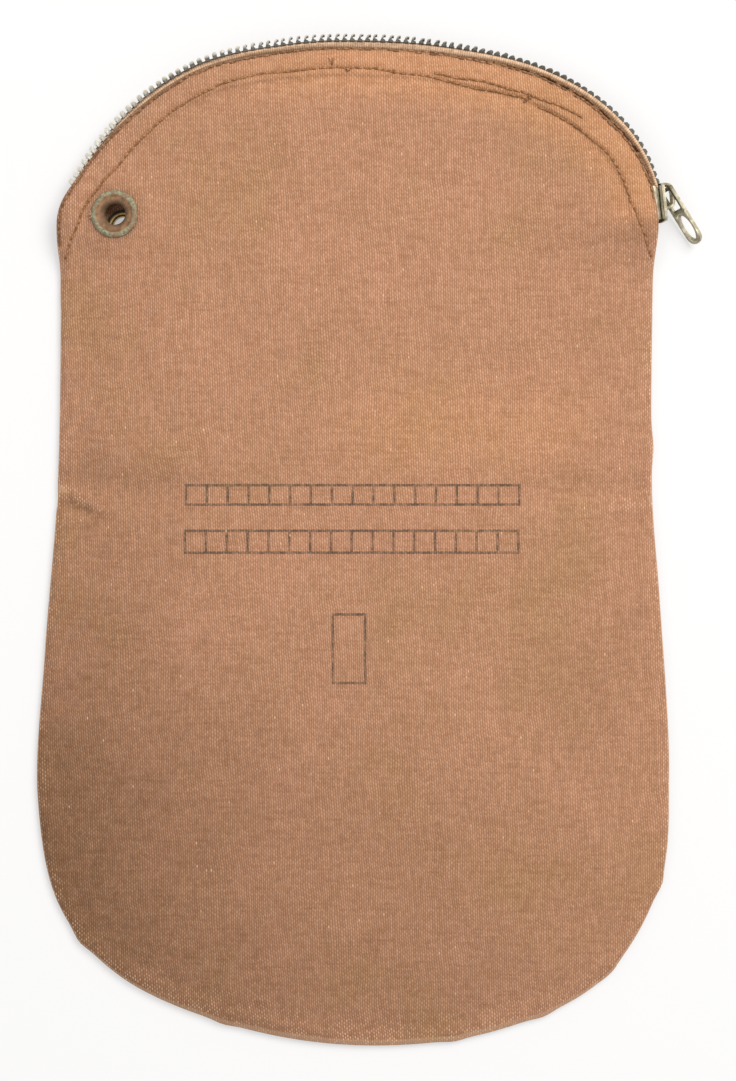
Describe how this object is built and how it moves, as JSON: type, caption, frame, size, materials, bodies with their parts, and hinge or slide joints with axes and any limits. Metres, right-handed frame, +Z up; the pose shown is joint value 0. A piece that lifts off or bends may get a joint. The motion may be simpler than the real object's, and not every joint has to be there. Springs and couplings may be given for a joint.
{
  "type": "bank deposit bag",
  "caption": "Flat canvas deposit pouch with a rounded foot and an arched metal zip mouth, slider with a hinged pull tab, and a brass grommet in each wall",
  "frame": {"origin": "On the surface that the bag lies on, under the middle of its bounding box", "axes": "+X to the right of the front wall, +Y from the foot to the zip mouth, +Z up out of the front wall"},
  "size_m": [0.2146, 0.3258, 0.0122],
  "materials": {
    "canvas": "worn tan cotton duck, plain weave, matt",
    "zip_tape": "faded woven cotton tape",
    "zip_metal": "dulled nickel-plated teeth, darkened between",
    "slider_metal": "worn nickel plate with brass showing",
    "grommet_brass": "brass with a grey-green patina"
  },
  "bodies": {
    "bag": {"front_panel": "canvas", "back_panel": "canvas", "zip_tape_front": "zip_tape", "zip_tape_back": "zip_tape", "zip_teeth_front": "zip_metal", "zip_teeth_back": "zip_metal", "zip_slider": "slider_metal", "grommet_front": "grommet_brass", "grommet_back": "grommet_brass"},
    "pull": {"pull_tab": "slider_metal"}
  },
  "joints": [
    {"name": "pull_hinge", "type": "hinge", "parent": "bag", "child": "pull", "pos_m": [0.0957, 0.11336, 0.00493], "axis": [0.2059, 0.029, 0.9781], "range_deg": [-22, 127]}
  ]
}
